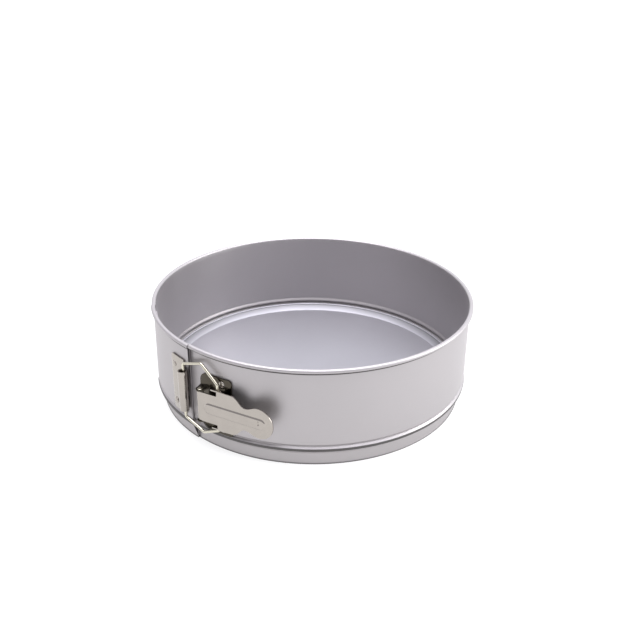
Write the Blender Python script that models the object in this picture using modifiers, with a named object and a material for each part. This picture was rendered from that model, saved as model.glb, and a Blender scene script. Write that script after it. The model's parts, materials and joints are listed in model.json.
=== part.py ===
"""Springform pan: a band with a toggle latch, and a loose base disc.

Metres, +Z up. The origin is the middle of the underside of the whole pan, and -Y is the front. The latch
is at the front left. Every object hangs on pan_axis, an empty on the axis of the round pan, and the
functions work about that axis: an azimuth runs from the front (-Y) round towards the left (-X).
"""
import bmesh
import bpy
from math import atan2, ceil, cos, hypot, pi, radians, sin
from mathutils import Matrix, Vector

mm = 0.001

# the pan: a springform pan of the 9 inch by 3 inch class
inner_radius = 116.0 * mm
pan_height = 75.0 * mm
sheet = 0.9 * mm            # thickness of the band and of the latch's plates
gap = 0.3 * mm              # between pieces that touch
axis_offset_y = 3.95 * mm    # the lever stands proud of the front, so the box's middle is off the pan's axis

# the band: outline of the inner face, and the rolled rim
foot_radius = 112.0 * mm
shoulder_low = 9.2 * mm
shoulder_high = 12.6 * mm
groove_radius = 116.5 * mm
groove_top = 13.9 * mm
ridge_radius = 115.0 * mm
ridge_low = 15.3 * mm
ridge_high = 16.3 * mm
wall_low = 18.0 * mm
rim_half_height = 1.5 * mm  # of the rolled rim
rim_inner = 116.2 * mm
rim_outer = 119.4 * mm
rim_points = 11
segment_angle = 4.5         # degrees, one facet of a round piece

# the seam: the right end of the band runs on under the left end
seam_azimuth = 43.8
seam_gap = 0.15             # degrees, between the two ends of the rolled rim
tongue_azimuth = 76.2
joggle_azimuth = 77.8
joggle_length = 2.0         # degrees
tongue_drop = 3.3 * mm      # the tongue's top edge, below the pan's rim
rim_step = 0.6 * mm         # the roll is set out this much where the ends overlap
back_gap = 0.08             # degrees, half the gap between the two modelled halves at the back

# the base disc
disc_radius = 114.0 * mm
disc_floor = 9.4 * mm
disc_floor_radius = 107.8 * mm
disc_edge_inner = 111.9 * mm
disc_edge_top = 14.0 * mm
disc_edge_low = 11.3 * mm

# the latch
latch_height = 37.0 * mm
keeper_azimuth = 45.4       # the bail's leg in the keeper
keeper_leg_radius = 121.3 * mm
keeper_left_azimuth = 53.8
keeper_low = 18.6 * mm
keeper_high = 61.4 * mm
keeper_corner = 1.6 * mm
curl_inner = 1.9 * mm
curl_low = 24.4 * mm
curl_high = 54.6 * mm
bracket_left_azimuth = 39.0
bracket_right_azimuth = 26.3
bracket_half_height = 21.6 * mm
bracket_left_corner = 6.0 * mm
bracket_right_corner = 2.5 * mm
pivot_azimuth = 36.8
pivot_radius = 123.1 * mm
bracket_ear_radius = 3.0 * mm
bracket_ear_width = 9.0 * mm
pin_radius = 0.95 * mm
pin_head_radius = 1.9 * mm
pin_head = 0.7 * mm
pin_head_corner = 0.3 * mm
lever_angle = radians(28.0)     # from +X towards the front
lever_length = 57.0 * mm
lever_sheet = 0.9 * mm
barrel_radius = 2.2 * mm
lever_narrow = 11.0 * mm        # half heights
lever_wide = 15.0 * mm
lever_neck = 8.2 * mm
thumb_radius = 11.0 * mm
step_at = 14.2 * mm
shoulder_at = 26.3 * mm
neck_at = 35.6 * mm
shoulder_corner = 0.6 * mm
rib_from = 4.2 * mm
rib_to = 50.5 * mm
rib_half = 3.9 * mm
rib_height = 0.6 * mm
bail_ear_radius = 2.6 * mm
bail_ear_width = 8.4 * mm
bail_play = 0.35 * mm           # of the wire in its ears
bail_at = 13.5 * mm             # along the lever from its pivot
bail_set_back = 0.5 * mm
wire_radius = 1.1 * mm
bail_corner_half = 20.5 * mm    # half heights of the wire's loop
bail_bend_half = 26.6 * mm
bail_end_half = 17.6 * mm
bail_tip_half = 12.7 * mm
bail_end_rise = 0.8 * mm        # the loop's middle above the lever's, at its ends and at the keeper
bail_rise = 2.9 * mm
bail_bend_at = 0.55             # of the way from the keeper to the lever
bail_bend_radius = 2.0 * mm
bend_pitch = 2.2 * mm           # facets of the plates that follow the wall
rivet_head_radius = 2.3 * mm
rivet_head_height = 0.8 * mm
rivet_shank_radius = 1.2 * mm
keeper_rivet_azimuth = 52.1
keeper_rivet_rise = 2.5 * mm
keeper_rivet_half = 14.6 * mm
bracket_rivet_azimuth = 29.9
bracket_rivet_half = 17.4 * mm


def plan(azimuth, radius):
    """The plan position at an azimuth in degrees from the front towards the left."""
    a = radians(azimuth)
    return Vector((-radius * sin(a), -radius * cos(a), 0.0))


wall_outer = inner_radius + sheet
overlap_outer = wall_outer + gap + sheet
pivot = plan(pivot_azimuth, pivot_radius)
along_lever = Vector((cos(lever_angle), -sin(lever_angle), 0.0))
off_lever = Vector((-sin(lever_angle), -cos(lever_angle), 0.0))
bail_pivot = pivot + along_lever * bail_at - off_lever * bail_set_back
keeper_leg = plan(keeper_azimuth, keeper_leg_radius)
lever_face = barrel_radius      # the lever's outer face, off the pivot


def clear_scene():
    for item in list(bpy.data.objects):
        bpy.data.objects.remove(item, do_unlink=True)


def new_collection(name):
    made = bpy.data.collections.new(name)
    bpy.context.scene.collection.children.link(made)
    return made


def make_material(name, colour, roughness, metallic):
    made = bpy.data.materials.new(name)
    made.use_nodes = True
    shader = made.node_tree.nodes["Principled BSDF"]
    shader.inputs["Base Color"].default_value = (*colour, 1.0)
    shader.inputs["Roughness"].default_value = roughness
    shader.inputs["Metallic"].default_value = metallic
    made.diffuse_color = (*colour, 1.0)
    return made


def mesh_object(name, bm, where):
    """Wrap a closed bmesh, its faces turned outwards, in an object of its own."""
    bmesh.ops.recalc_face_normals(bm, faces=bm.faces)
    if bm.calc_volume(signed=True) < 0.0:
        bmesh.ops.reverse_faces(bm, faces=bm.faces)
    data = bpy.data.meshes.new(name)
    bm.to_mesh(data)
    bm.free()
    item = bpy.data.objects.new(name, data)
    where.objects.link(item)
    return item


def finish(item, material, smooth_angle=35.0):
    item.data.materials.clear()
    item.data.materials.append(material)
    item.data.shade_smooth()
    item.data.set_sharp_from_angle(angle=radians(smooth_angle))
    item.parent = pan_axis
    return item


def turn_about(item, point):
    """Put an object's origin on a joint's axis, and leave its shape where it is."""
    item.data.transform(Matrix.Translation(-point))
    item.location = point
    return item


def apply_modifiers(item):
    evaluated = item.evaluated_get(bpy.context.evaluated_depsgraph_get())
    fresh = bpy.data.meshes.new_from_object(evaluated)
    item.modifiers.clear()
    item.data = fresh
    return item


def combine(item, other, operation):
    """One EXACT Boolean, applied; the other object is used up."""
    boolean = item.modifiers.new(operation.lower(), "BOOLEAN")
    boolean.operation = operation
    boolean.solver = "EXACT"
    boolean.object = other
    apply_modifiers(item)
    bpy.data.objects.remove(other, do_unlink=True)
    return item


def rod(name, radius, centre, direction, length, where, sides=16):
    """A plain round bar."""
    bm = bmesh.new()
    bmesh.ops.create_cone(bm, cap_ends=True, segments=sides, radius1=radius, radius2=radius, depth=length)
    turn = direction.to_track_quat("Z", "Y").to_matrix().to_4x4()
    bm.transform(Matrix.Translation(centre) @ turn)
    return mesh_object(name, bm, where)


def revolve(name, profile, where, steps):
    """Turn a profile of (radius, height) points, given from its top down its outer side."""
    data = bpy.data.meshes.new(name)
    data.from_pydata([(r, 0.0, z) for r, z in profile], [(i, i + 1) for i in range(len(profile) - 1)], [])
    item = bpy.data.objects.new(name, data)
    where.objects.link(item)
    screw = item.modifiers.new("turn", "SCREW")
    screw.steps = steps
    screw.render_steps = steps
    screw.use_merge_vertices = True
    screw.merge_threshold = 0.00001
    return apply_modifiers(item)


def offset_profile(points, distance):
    """Move an open outline of (radius, height) points outwards by a distance, with mitred corners."""
    moved = []
    for i, (r, z) in enumerate(points):
        before = points[max(i - 1, 0)]
        after = points[min(i + 1, len(points) - 1)]
        normals = []
        for (r0, z0), (r1, z1) in ((before, (r, z)), ((r, z), after)):
            length = hypot(r1 - r0, z1 - z0)
            if length > 0.0:
                normals.append(((z1 - z0) / length, (r0 - r1) / length))
        nr = sum(n[0] for n in normals) / len(normals)
        nz = sum(n[1] for n in normals) / len(normals)
        scale = distance / (nr * nr + nz * nz)
        moved.append((r + nr * scale, z + nz * scale))
    moved[0] = (moved[0][0], points[0][1])
    moved[-1] = (moved[-1][0], points[-1][1])
    return moved


def wall_outline(top):
    """The band's inner face from its foot to a height."""
    return [
        (foot_radius, 0.0),
        (foot_radius, shoulder_low),
        (inner_radius + 0.2 * mm, shoulder_high),
        (groove_radius, groove_top),
        (ridge_radius, ridge_low),
        (ridge_radius, ridge_high),
        (inner_radius, wall_low),
        (inner_radius, top),
    ]


def band_section(wall_shift, roll_shift):
    """A closed section of the band: its wall, and the roll from its inner side over the top to under it."""
    roll_low = pan_height - 2.0 * rim_half_height
    inner = offset_profile(wall_outline(roll_low), wall_shift)
    outer = offset_profile(wall_outline(roll_low), wall_shift + sheet)
    middle = (rim_inner + rim_outer) / 2.0 + roll_shift
    half = (rim_outer - rim_inner) / 2.0
    roll = []
    for i in range(rim_points):
        a = pi - pi / 6.0 * i
        roll.append((middle + half * cos(a), pan_height - rim_half_height + rim_half_height * sin(a)))
    return outer[::-1] + inner + roll


def full_section():
    return band_section(0.0, 0.0)


def overlap_section():
    """The left end of the band, set out by one sheet so that it covers the tongue."""
    return band_section(sheet + gap, rim_step)


def tongue_section():
    """The right end of the band under the left end: the wall alone, with the roll left off."""
    top = pan_height - tongue_drop
    inner = wall_outline(top)
    outer = offset_profile(inner, sheet)
    roll = [(inner_radius + sheet * (i + 1) / (rim_points + 1), top) for i in range(rim_points)]
    return outer[::-1] + inner + roll


def loft(name, stations, where):
    """Join like-numbered closed sections, each at its azimuth in degrees, and cap both ends."""
    bm = bmesh.new()
    rings = []
    for azimuth, section in stations:
        ring = []
        for r, z in section:
            place = plan(azimuth, r)
            ring.append(bm.verts.new((place.x, place.y, z)))
        rings.append(ring)
    count = len(rings[0])
    for first, second in zip(rings, rings[1:]):
        for i in range(count):
            j = (i + 1) % count
            bm.faces.new((first[i], first[j], second[j], second[i]))
    bm.faces.new(rings[0][::-1])
    bm.faces.new(rings[-1])
    return mesh_object(name, bm, where)


def spread(first, last):
    """Azimuths from first to last, both included, no more than a facet apart."""
    steps = max(1, ceil(abs(last - first) / segment_angle - 1e-6))
    return [first + (last - first) * i / steps for i in range(steps + 1)]


def make_band_right(where):
    tongue = [(a, tongue_section()) for a in spread(tongue_azimuth, seam_azimuth)]
    full = [(a, full_section()) for a in spread(seam_azimuth - seam_gap, 0.0)]
    full += [(a, full_section()) for a in spread(0.0, -90.0)[1:]]
    full += [(a, full_section()) for a in spread(-90.0, -180.0 + back_gap)[1:]]
    return loft("band_right", tongue + full, where)


def make_band_left(where):
    full = [(a, full_section()) for a in spread(180.0 - back_gap, 90.0)]
    full += [(a, full_section()) for a in spread(90.0, joggle_azimuth + joggle_length)[1:]]
    over = [(a, overlap_section()) for a in spread(joggle_azimuth, seam_azimuth)]
    return loft("band_left", full + over, where)


def make_base_disc(where):
    bead = (disc_radius - disc_edge_inner) / 2.0
    top = []
    for i in range(5):
        a = pi - pi * i / 4.0
        top.append((disc_edge_inner + bead + bead * cos(a), disc_edge_top - bead + bead * sin(a)))
    profile = [(0.0, disc_floor), (disc_floor_radius, disc_floor)]
    profile += [(disc_floor_radius + 0.8 * mm, disc_floor + 0.5 * mm)]
    profile += top
    profile += [(disc_radius, disc_edge_low + 0.3 * mm), (disc_radius - 0.4 * mm, disc_edge_low)]
    profile += [(disc_edge_inner + 0.5 * mm, disc_edge_low)]
    profile += [(disc_floor_radius + 0.7 * mm, disc_floor - sheet)]
    profile += [(0.0, disc_floor - sheet)]
    return revolve("base_disc", profile, where, 80)


def bend_round(item, radius, middle_azimuth, pitch):
    """Wrap a flat plate, drawn in X (towards the right) and Z, round the pan; its Y is the way out."""
    bm = bmesh.new()
    bm.from_mesh(item.data)
    xs = [v.co.x for v in bm.verts]
    count = int((max(xs) - min(xs)) / pitch)
    for i in range(1, count + 1):
        x = min(xs) + (max(xs) - min(xs)) * i / (count + 1)
        everything = bm.verts[:] + bm.edges[:] + bm.faces[:]
        bmesh.ops.bisect_plane(bm, geom=everything, plane_co=(x, 0, 0), plane_no=(1, 0, 0), dist=1e-7)
    for v in bm.verts:
        azimuth = middle_azimuth - v.co.x / radius * 180.0 / pi
        place = plan(azimuth, radius + v.co.y)
        v.co = Vector((place.x, place.y, v.co.z))
    bm.to_mesh(item.data)
    bm.free()
    return item


def flat_plate(name, outline, thickness, where):
    """A plate from an outline of (x, z) points; its back is at y = 0 and its face at y = thickness."""
    bm = bmesh.new()
    back = [bm.verts.new((x, 0.0, z)) for x, z in outline]
    face = bm.faces.new(back)
    grown = bmesh.ops.extrude_face_region(bm, geom=[face])
    for v in [g for g in grown["geom"] if isinstance(g, bmesh.types.BMVert)]:
        v.co.y += thickness
    return mesh_object(name, bm, where)


def rounded_outline(corners, arc_steps=4):
    """A closed outline of (x, z) points with its corners rounded; each corner is (x, z, radius)."""
    points = []
    count = len(corners)
    for i, (x, z, radius) in enumerate(corners):
        here = Vector((x, z))
        before = (Vector(corners[i - 1][:2]) - here).normalized()
        after = (Vector(corners[(i + 1) % count][:2]) - here).normalized()
        if radius <= 0.0:
            points.append((x, z))
            continue
        half = before.angle(after) / 2.0
        reach = radius * cos(half) / sin(half)
        first = here + before * reach
        last = here + after * reach
        centre = here + (before + after).normalized() * (radius / sin(half))
        a0 = atan2(first.y - centre.y, first.x - centre.x)
        a1 = atan2(last.y - centre.y, last.x - centre.x)
        turn = (a1 - a0 + pi) % (2.0 * pi) - pi
        for k in range(arc_steps + 1):
            a = a0 + turn * k / arc_steps
            points.append((centre.x + radius * cos(a), centre.y + radius * sin(a)))
    return points


def arc_length(azimuth_a, azimuth_b, radius):
    return radians(azimuth_a - azimuth_b) * radius


def make_keeper_plate(where):
    """The riveted flange, and the lip that its right edge makes round the left side of the bail's leg."""
    seat = overlap_outer + gap
    right_azimuth = keeper_azimuth + 0.4
    width = arc_length(keeper_left_azimuth, right_azimuth, seat)
    outline = rounded_outline([
        (-width / 2, keeper_low, keeper_corner),
        (width / 2, keeper_low, keeper_corner),
        (width / 2, keeper_high, keeper_corner),
        (-width / 2, keeper_high, keeper_corner),
    ])
    plate = flat_plate("keeper_plate", outline, sheet, where)
    bend_round(plate, seat, (keeper_left_azimuth + right_azimuth) / 2.0, bend_pitch)
    out = plan(keeper_azimuth, 1.0)
    right = plan(keeper_azimuth - 90.0, 1.0)
    section = []
    for i in range(6):
        a = radians(250.0 - 120.0 * i / 5)
        section.append((cos(a) * curl_inner, sin(a) * curl_inner))
    for i in range(6):
        a = radians(130.0 + 120.0 * i / 5)
        section.append((cos(a) * (curl_inner + sheet), sin(a) * (curl_inner + sheet)))
    bm = bmesh.new()
    low = [bm.verts.new(keeper_leg + right * x + out * y + Vector((0, 0, curl_low))) for x, y in section]
    face = bm.faces.new(low)
    grown = bmesh.ops.extrude_face_region(bm, geom=[face])
    for v in [g for g in grown["geom"] if isinstance(g, bmesh.types.BMVert)]:
        v.co.z += curl_high - curl_low
    lip = mesh_object("lip", bm, where)
    return combine(plate, lip, "UNION")


def ear_plate(centre, radius, hole_radius, toward, width, reach, low, where):
    """A flat ear: a round end about a hole, and straight sides running back to its root."""
    side = Vector((-toward.y, toward.x, 0.0))
    points = []
    for i in range(9):
        a = -pi / 2.0 + pi * i / 8
        points.append(centre - toward * (radius * cos(a)) + side * (radius * sin(a)))
    points.append(centre + toward * reach + side * (width / 2.0))
    points.append(centre + toward * reach - side * (width / 2.0))
    bm = bmesh.new()
    face = bm.faces.new([bm.verts.new(p + Vector((0, 0, low))) for p in points])
    grown = bmesh.ops.extrude_face_region(bm, geom=[face])
    for v in [g for g in grown["geom"] if isinstance(g, bmesh.types.BMVert)]:
        v.co.z += sheet
    ear = mesh_object("ear", bm, where)
    up = Vector((0, 0, 1))
    hole = rod("hole", hole_radius, centre + up * (low + sheet / 2.0), up, 3.0 * sheet, where)
    return combine(ear, hole, "DIFFERENCE")


def make_latch_bracket(where):
    seat = wall_outer + gap
    width = arc_length(bracket_left_azimuth, bracket_right_azimuth, seat)
    low = latch_height - bracket_half_height
    high = latch_height + bracket_half_height
    outline = rounded_outline([
        (-width / 2, low, bracket_left_corner),
        (width / 2, low, bracket_right_corner),
        (width / 2, high, bracket_right_corner),
        (-width / 2, high, bracket_left_corner),
    ])
    plate = flat_plate("latch_bracket", outline, sheet, where)
    bend_round(plate, seat, (bracket_left_azimuth + bracket_right_azimuth) / 2.0, bend_pitch)
    inward = -plan(pivot_azimuth, 1.0)
    reach = pivot_radius - seat - sheet / 2.0
    for side in (-1, 1):
        low = latch_height + side * (lever_narrow + gap) - (sheet if side < 0 else 0.0)
        hole = pin_radius + gap
        ear = ear_plate(pivot, bracket_ear_radius, hole, inward, bracket_ear_width, reach, low, where)
        combine(plate, ear, "UNION")
    return plate


def make_lever_pin(where):
    half = lever_narrow + gap + sheet + gap
    top = half + pin_head
    profile = [
        (0.0, top),
        (pin_head_radius - pin_head_corner, top),
        (pin_head_radius, top - pin_head_corner),
        (pin_head_radius, half),
        (pin_radius, half),
        (pin_radius, -half),
        (pin_head_radius, -half),
        (pin_head_radius, pin_head_corner - top),
        (pin_head_radius - pin_head_corner, -top),
        (0.0, -top),
    ]
    pin = revolve("lever_pin", profile, where, 16)
    pin.data.transform(Matrix.Translation(pivot + Vector((0, 0, latch_height))))
    return pin


def lever_outline():
    """The lever's plate, drawn along the lever and up: a narrow end, a wide part, a neck and a thumb end."""
    thumb_centre = lever_length - thumb_radius
    upper = [(0.0, lever_narrow), (step_at, lever_narrow), (step_at, lever_wide)]
    upper += [(shoulder_at - 1.5 * mm, lever_wide), (shoulder_at, lever_wide - shoulder_corner)]
    blend = 6
    for i in range(1, blend + 1):
        t = i / blend
        drop = lever_wide - shoulder_corner - lever_neck
        upper.append((shoulder_at + (neck_at - shoulder_at) * t, lever_neck + drop * (1 + cos(pi * t)) / 2))
    meet = radians(116.0)
    joined = (thumb_centre + thumb_radius * cos(meet), thumb_radius * sin(meet))
    upper.append(((neck_at + joined[0]) / 2, lever_neck + (joined[1] - lever_neck) * 0.45))
    steps = 10
    tip = []
    for i in range(steps + 1):
        a = meet * (1.0 - i / steps)
        tip.append((thumb_centre + thumb_radius * cos(a), thumb_radius * sin(a)))
    upper += tip[:-1]
    lower = [(x, -z) for x, z in upper[::-1]]
    return upper + [tip[-1]] + lower


def place_on_lever(item):
    """From the lever's own drawing (X along, Y out, Z up) to the latch."""
    frame = Matrix((
        (along_lever.x, off_lever.x, 0.0, pivot.x),
        (along_lever.y, off_lever.y, 0.0, pivot.y),
        (0.0, 0.0, 1.0, latch_height),
        (0.0, 0.0, 0.0, 1.0),
    ))
    item.data.transform(frame)
    item.data.flip_normals()
    return item


def make_latch_lever(where):
    lever = flat_plate("latch_lever", lever_outline(), lever_sheet, where)
    lever.data.transform(Matrix.Translation((0.0, lever_face - lever_sheet, 0.0)))
    up = Vector((0, 0, 1))
    barrel = rod("barrel", barrel_radius, Vector((0, 0, 0)), up, 2 * lever_narrow, where, 20)
    combine(lever, barrel, "UNION")
    rib = flat_plate("rib", rounded_outline([
        (rib_from, -rib_half, rib_half * 0.9),
        (rib_to, -rib_half, rib_half * 0.9),
        (rib_to, rib_half, rib_half * 0.9),
        (rib_from, rib_half, rib_half * 0.9),
    ], 5), lever_sheet + rib_height, where)
    rib.data.transform(Matrix.Translation((0.0, lever_face - lever_sheet, 0.0)))
    combine(lever, rib, "UNION")
    back = Vector((0.0, 1.0, 0.0))
    for side in (-1, 1):
        low = side * lever_wide - (sheet if side > 0 else 0.0)
        centre = Vector((bail_at, -bail_set_back, 0.0))
        reach = lever_face - lever_sheet / 2.0 + bail_set_back
        hole = wire_radius + bail_play
        ear = ear_plate(centre, bail_ear_radius, hole, back, bail_ear_width, reach, low, where)
        combine(lever, ear, "UNION")
    combine(lever, rod("bore", pin_radius + gap, Vector((0, 0, 0)), up, 40 * mm, where), "DIFFERENCE")
    place_on_lever(lever)
    return turn_about(lever, pivot + up * latch_height)


def round_bends(points, radius, arc_steps=4):
    """A path with its inner corners rounded."""
    path = [points[0]]
    for before, here, after in zip(points, points[1:], points[2:]):
        back = (before - here).normalized()
        on = (after - here).normalized()
        half = back.angle(on) / 2.0
        reach = radius * cos(half) / sin(half)
        centre = here + (back + on).normalized() * (radius / sin(half))
        start = here + back * reach - centre
        end = here + on * reach - centre
        for k in range(arc_steps + 1):
            path.append(centre + start.lerp(end, k / arc_steps).normalized() * radius)
    path.append(points[-1])
    return path


def make_bail_wire(where):
    """A bent wire loop; each end turns in through an ear of the lever."""
    bend = keeper_leg.lerp(bail_pivot, bail_bend_at)
    half = [
        (bail_pivot, bail_end_rise, bail_tip_half),
        (bail_pivot, bail_end_rise, bail_end_half),
        (bend, bail_rise, bail_bend_half),
        (keeper_leg, bail_rise, bail_corner_half),
    ]
    upper = [p + Vector((0, 0, latch_height + rise + z)) for p, rise, z in half]
    lower = [p + Vector((0, 0, latch_height + rise - z)) for p, rise, z in half[::-1]]
    path = round_bends(upper + lower, bail_bend_radius)
    curve = bpy.data.curves.new("bail_wire", "CURVE")
    curve.dimensions = "3D"
    curve.bevel_depth = wire_radius
    curve.bevel_resolution = 2
    curve.use_fill_caps = True
    spline = curve.splines.new("POLY")
    spline.points.add(len(path) - 1)
    origin = bail_pivot + Vector((0, 0, latch_height))
    for point, place in zip(spline.points, path):
        point.co = (*(place - origin), 1.0)
    bail = bpy.data.objects.new("bail_wire", curve)
    where.objects.link(bail)
    bail.location = origin
    return bail


def make_rivet(name, azimuth, height, seat, head_at, where):
    """A flat-headed rivet: its shank starts flush with the band's inner face and ends in a head."""
    length = head_at - seat
    profile = [
        (0.0, length + rivet_head_height),
        (rivet_head_radius * 0.55, length + rivet_head_height),
        (rivet_head_radius * 0.9, length + rivet_head_height * 0.7),
        (rivet_head_radius, length + 0.15 * mm),
        (rivet_head_radius, length),
        (rivet_shank_radius, length),
        (rivet_shank_radius, 0.0),
        (0.0, 0.0),
    ]
    rivet = revolve(name, profile, where, 16)
    out = plan(azimuth, 1.0)
    turn = out.to_track_quat("Z", "Y").to_matrix().to_4x4()
    place = plan(azimuth, seat) + Vector((0, 0, height))
    rivet.data.transform(Matrix.Translation(place) @ turn)
    return rivet


def drill(item, azimuth, height, where):
    """A rivet's hole, straight in towards the pan's axis."""
    centre = plan(azimuth, wall_outer) + Vector((0, 0, height))
    hole = rod("hole", rivet_shank_radius + gap, centre, plan(azimuth, 1.0), 12 * mm, where, 12)
    return combine(item, hole, "DIFFERENCE")


def make_pan(where):
    aluminium = make_material("anodised_aluminium", (0.60, 0.59, 0.60), 0.42, 1.0)
    base_metal = make_material("base_aluminium", (0.62, 0.61, 0.64), 0.45, 1.0)
    plated = make_material("nickel_plate", (0.78, 0.75, 0.70), 0.18, 1.0)
    wire = make_material("bright_wire", (0.80, 0.78, 0.72), 0.15, 1.0)

    band_right = make_band_right(where)
    band_left = make_band_left(where)
    keeper = make_keeper_plate(where)
    bracket = make_latch_bracket(where)
    for side, word in ((1, "upper"), (-1, "lower")):
        height = latch_height + keeper_rivet_rise + side * keeper_rivet_half
        head_at = overlap_outer + gap + sheet + gap
        drill(band_left, keeper_rivet_azimuth, height, where)
        drill(keeper, keeper_rivet_azimuth, height, where)
        seat = wall_outer + gap
        rivet = make_rivet(f"keeper_rivet_{word}", keeper_rivet_azimuth, height, seat, head_at, where)
        finish(rivet, plated)
        height = latch_height + side * bracket_rivet_half
        head_at = wall_outer + gap + sheet + gap
        drill(band_right, bracket_rivet_azimuth, height, where)
        drill(bracket, bracket_rivet_azimuth, height, where)
        seat = inner_radius
        rivet = make_rivet(f"bracket_rivet_{word}", bracket_rivet_azimuth, height, seat, head_at, where)
        finish(rivet, plated)
    finish(band_right, aluminium)
    finish(turn_about(band_left, Vector((0.0, rim_outer + 0.2 * mm, 0.0))), aluminium)
    finish(make_base_disc(where), base_metal)
    finish(keeper, plated)
    finish(bracket, plated)
    finish(make_lever_pin(where), wire)
    finish(make_latch_lever(where), plated)
    bail = make_bail_wire(where)
    bail.data.materials.append(wire)
    bail.parent = pan_axis


clear_scene()
parts = new_collection("springform_pan")
pan_axis = bpy.data.objects.new("pan_axis", None)
pan_axis.location = (0.0, axis_offset_y, 0.0)
parts.objects.link(pan_axis)
make_pan(parts)
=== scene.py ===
import bpy
import bmesh
import json
from math import atan2, cos, hypot, pi, radians, sin
from mathutils import Matrix, Vector


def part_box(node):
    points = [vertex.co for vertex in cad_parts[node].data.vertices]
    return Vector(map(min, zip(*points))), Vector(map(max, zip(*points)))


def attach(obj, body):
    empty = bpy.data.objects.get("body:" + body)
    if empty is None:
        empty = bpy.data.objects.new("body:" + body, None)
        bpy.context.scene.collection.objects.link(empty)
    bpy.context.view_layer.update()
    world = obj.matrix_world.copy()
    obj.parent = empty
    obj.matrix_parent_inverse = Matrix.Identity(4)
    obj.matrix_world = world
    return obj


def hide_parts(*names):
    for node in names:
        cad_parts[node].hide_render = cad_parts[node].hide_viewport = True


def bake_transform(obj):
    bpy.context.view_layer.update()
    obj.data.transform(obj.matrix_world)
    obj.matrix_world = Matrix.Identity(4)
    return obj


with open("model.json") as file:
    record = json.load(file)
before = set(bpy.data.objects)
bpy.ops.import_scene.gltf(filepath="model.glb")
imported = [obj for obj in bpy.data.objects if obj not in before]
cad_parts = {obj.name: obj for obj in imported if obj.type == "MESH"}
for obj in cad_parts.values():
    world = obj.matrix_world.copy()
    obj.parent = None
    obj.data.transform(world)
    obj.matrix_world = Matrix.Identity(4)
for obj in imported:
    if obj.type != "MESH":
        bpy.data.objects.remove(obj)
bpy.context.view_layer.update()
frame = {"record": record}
mm = 0.001
up = Vector((0.0, 0.0, 1.0))
joints = {j["name"]: j for j in frame["record"]["behaviour"]["joints"]}

baseLow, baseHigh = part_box("base_disc")
panAxis = Vector(((baseLow[0] + baseHigh[0]) / 2, (baseLow[1] + baseHigh[1]) / 2, 0.0))
pivot = Vector(joints["lever_swing"]["pos_m"])
bailPivot = Vector(joints["bail_swing"]["pos_m"])
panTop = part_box("band_right")[1][2]


def around(azimuth, radius, z=0.0):
    # azimuth in degrees from the front towards the viewer's left, about the pan's own axis
    a = radians(azimuth)
    return Vector((panAxis.x - radius * sin(a), panAxis.y - radius * cos(a), z))


def outward(azimuth):
    a = radians(azimuth)
    return Vector((-sin(a), -cos(a), 0.0))


def rightward(azimuth):
    a = radians(azimuth)
    return Vector((cos(a), -sin(a), 0.0))


def newObject(name, data):
    item = bpy.data.objects.new(name, data)
    bpy.context.scene.collection.objects.link(item)
    return item


def facesOut(bm):
    bmesh.ops.recalc_face_normals(bm, faces=bm.faces)
    if bm.calc_volume(signed=True) < 0.0:
        bmesh.ops.reverse_faces(bm, faces=bm.faces)


def toObject(name, bm, smoothAngle=35.0):
    # a closed bmesh becomes an object, faces outwards
    facesOut(bm)
    data = bpy.data.meshes.new(name)
    bm.to_mesh(data)
    bm.free()
    data.shade_smooth()
    data.set_sharp_from_angle(angle=radians(smoothAngle))
    return newObject(name, data)


def bake(item, smoothAngle=35.0):
    # the evaluated mesh replaces the modifiers
    evaluated = item.evaluated_get(bpy.context.evaluated_depsgraph_get())
    fresh = bpy.data.meshes.new_from_object(evaluated)
    if item.type == "MESH":
        item.modifiers.clear()
        item.data = fresh
        result = item
    else:
        name = item.name
        bpy.data.objects.remove(item, do_unlink=True)
        result = newObject(name, fresh)
    bm = bmesh.new()
    bm.from_mesh(fresh)
    bmesh.ops.remove_doubles(bm, verts=bm.verts, dist=1e-7)
    bm.to_mesh(fresh)
    bm.free()
    fresh.shade_smooth()
    fresh.set_sharp_from_angle(angle=radians(smoothAngle))
    return result


def combine(item, other, operation):
    boolean = item.modifiers.new("cut", "BOOLEAN")
    boolean.operation = operation
    boolean.solver = "EXACT"
    boolean.object = other
    bake(item)
    bpy.data.objects.remove(other, do_unlink=True)
    return item


def softenEdges(item, width, segments=2, angle=40.0):
    bevel = item.modifiers.new("soft edges", "BEVEL")
    bevel.width = width
    bevel.segments = segments
    bevel.limit_method = "ANGLE"
    bevel.angle_limit = radians(angle)
    bevel.use_clamp_overlap = True
    return bake(item, 50.0)


def filletPath(points, radii, steps, closed=False):
    # 2-D path with its corners rounded; radii is one number or one for each point
    result = []
    count = len(points)
    for i, point in enumerate(points):
        radius = radii[i] if isinstance(radii, (list, tuple)) else radii
        here = Vector(point)
        if radius <= 0.0 or (not closed and i in (0, count - 1)):
            result.append(here.copy())
            continue
        before = (Vector(points[i - 1]) - here).normalized()
        after = (Vector(points[(i + 1) % count]) - here).normalized()
        half = before.angle(after) / 2.0
        if half > pi / 2 - 0.01:
            result.append(here.copy())
            continue
        reach = radius * cos(half) / sin(half)
        centre = here + (before + after).normalized() * (radius / sin(half))
        first = here + before * reach - centre
        last = here + after * reach - centre
        for k in range(steps + 1):
            result.append(centre + first.lerp(last, k / steps).normalized() * radius)
    return result


def offsetPath(points, distance):
    # the same 2-D path moved to the right of its direction of travel
    moved = []
    for i, here in enumerate(points):
        normals = []
        for a, b in ((points[max(i - 1, 0)], here), (here, points[min(i + 1, len(points) - 1)])):
            step = Vector(b) - Vector(a)
            if step.length > 1e-9:
                normals.append(Vector((step.y, -step.x)).normalized())
        mean = sum(normals, Vector((0.0, 0.0))) / len(normals)
        moved.append(Vector(here) + mean * (distance / mean.length_squared))
    return moved


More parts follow.
